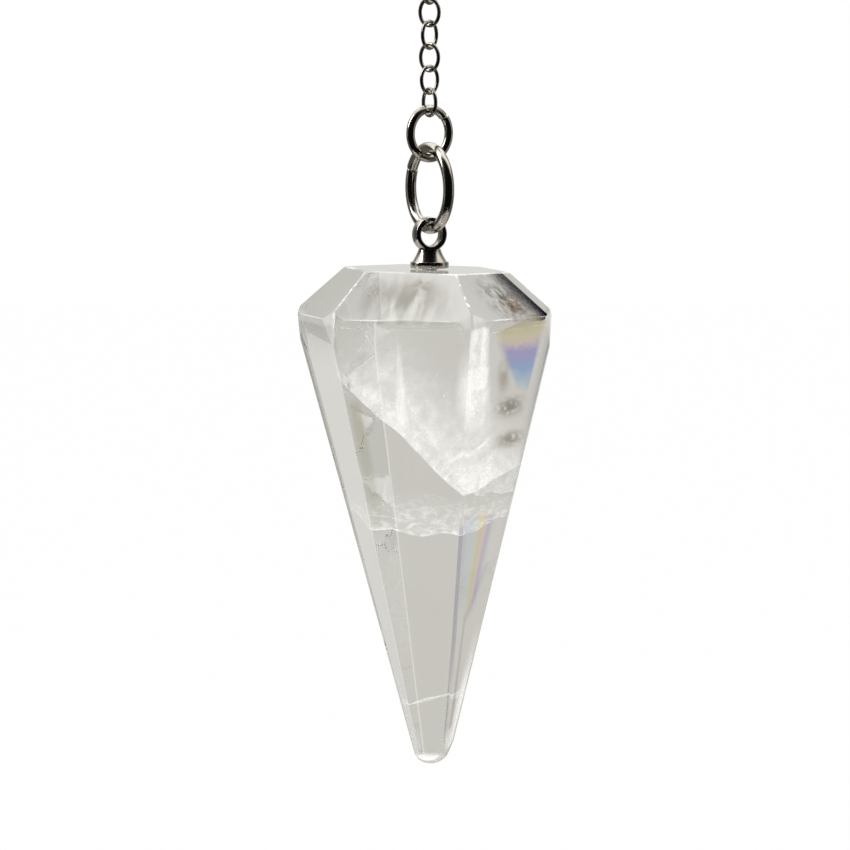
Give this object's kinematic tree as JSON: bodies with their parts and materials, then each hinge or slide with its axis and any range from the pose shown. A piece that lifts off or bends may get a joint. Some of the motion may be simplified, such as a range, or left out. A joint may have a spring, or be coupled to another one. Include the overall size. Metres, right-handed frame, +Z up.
{
  "type": "pendulum pendant",
  "caption": "Faceted clear rock crystal pendulum drop under a turned metal cap with an eye, hanging from split wire rings on a short length of cable chain.",
  "frame": {"origin": "the inside top of the highest chain link, where the pendant hangs", "axes": "+Z up along the hanging line, -Y towards the front as the picture shows it, +X to the viewer's right"},
  "size_m": [0.0204, 0.0201, 0.0636],
  "materials": {
    "chain_metal": "polished nickel-tone plate on fine wire",
    "ring_metal": "polished nickel-tone plate",
    "cap_metal": "polished nickel-tone plate, turned",
    "rock_crystal": "polished clear quartz with healed fractures, veils and a rainbow at one side"
  },
  "bodies": {
    "chain": {"link_1": "chain_metal", "link_2": "chain_metal", "link_3": "chain_metal", "link_4": "chain_metal", "link_5": "chain_metal", "link_6": "chain_metal", "jump_ring": "ring_metal", "carrier_ring": "ring_metal"},
    "drop": {"eye_cap": "cap_metal", "crystal": "rock_crystal"}
  },
  "joints": [
    {"name": "drop_swing", "type": "hinge", "parent": "chain", "child": "drop", "pos_m": [0, 0, -0.02005], "axis": [0.4726, -0.8813, 0], "range_deg": [-85, 85]}
  ]
}
